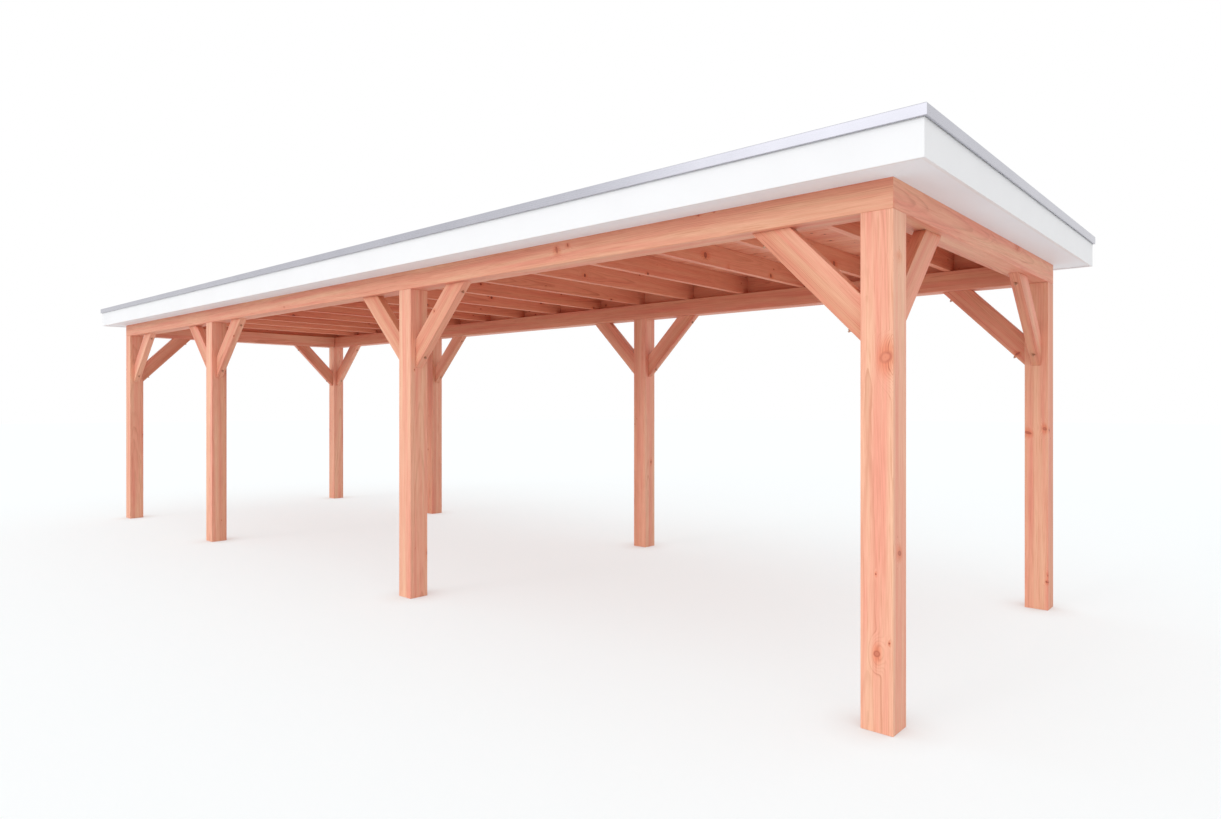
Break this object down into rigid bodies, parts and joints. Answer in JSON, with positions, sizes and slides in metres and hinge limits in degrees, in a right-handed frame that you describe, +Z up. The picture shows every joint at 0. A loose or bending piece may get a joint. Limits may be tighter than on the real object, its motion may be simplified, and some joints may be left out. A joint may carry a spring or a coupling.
{
  "type": "veranda",
  "caption": "Free-standing timber veranda: square posts with knee braces carry a ring beam, joists and a flat boarded roof with white fascia and aluminium edge trim.",
  "frame": {"origin": "middle of the footprint on the floor: centre of the bottom of the bounding box", "axes": "+X towards the right end along the long side, +Y from the front to the back, +Z up"},
  "size_m": [9.958, 3.248, 2.555],
  "materials": {
    "planed_timber": "planed Douglas fir, untreated",
    "roof_timber": "planed Douglas fir, untreated",
    "white_board": "smooth white board, satin",
    "edge_trim": "mill finish",
    "roof_rubber": "matte EPDM membrane"
  },
  "bodies": {
    "root": {"post_front_1": "planed_timber", "post_back_1": "planed_timber", "post_front_2": "planed_timber", "post_back_2": "planed_timber", "post_front_3": "planed_timber", "post_back_3": "planed_timber", "post_front_4": "planed_timber", "post_back_4": "planed_timber", "brace_front_1_right": "planed_timber", "brace_front_1_back": "planed_timber", "brace_front_2_left": "planed_timber", "brace_front_2_right": "planed_timber", "brace_front_3_left": "planed_timber", "brace_front_3_right": "planed_timber", "brace_front_4_left": "planed_timber", "brace_front_4_back": "planed_timber", "brace_back_1_right": "planed_timber", "brace_back_1_front": "planed_timber", "brace_back_2_left": "planed_timber", "brace_back_2_right": "planed_timber", "brace_back_3_left": "planed_timber", "brace_back_3_right": "planed_timber", "brace_back_4_left": "planed_timber", "brace_back_4_front": "planed_timber", "beam_front": "planed_timber", "beam_back": "planed_timber", "beam_left": "planed_timber", "beam_right": "planed_timber", "joists": "roof_timber", "blocking_front": "roof_timber", "blocking_back": "roof_timber", "roof_deck": "roof_timber", "roof_membrane": "roof_rubber", "fascia_front": "white_board", "soffit_front": "white_board", "trim_front": "edge_trim", "fascia_back": "white_board", "soffit_back": "white_board", "trim_back": "edge_trim", "fascia_left": "white_board", "soffit_left": "white_board", "trim_left": "edge_trim", "fascia_right": "white_board", "soffit_right": "white_board", "trim_right": "edge_trim"}
  },
  "joints": []
}
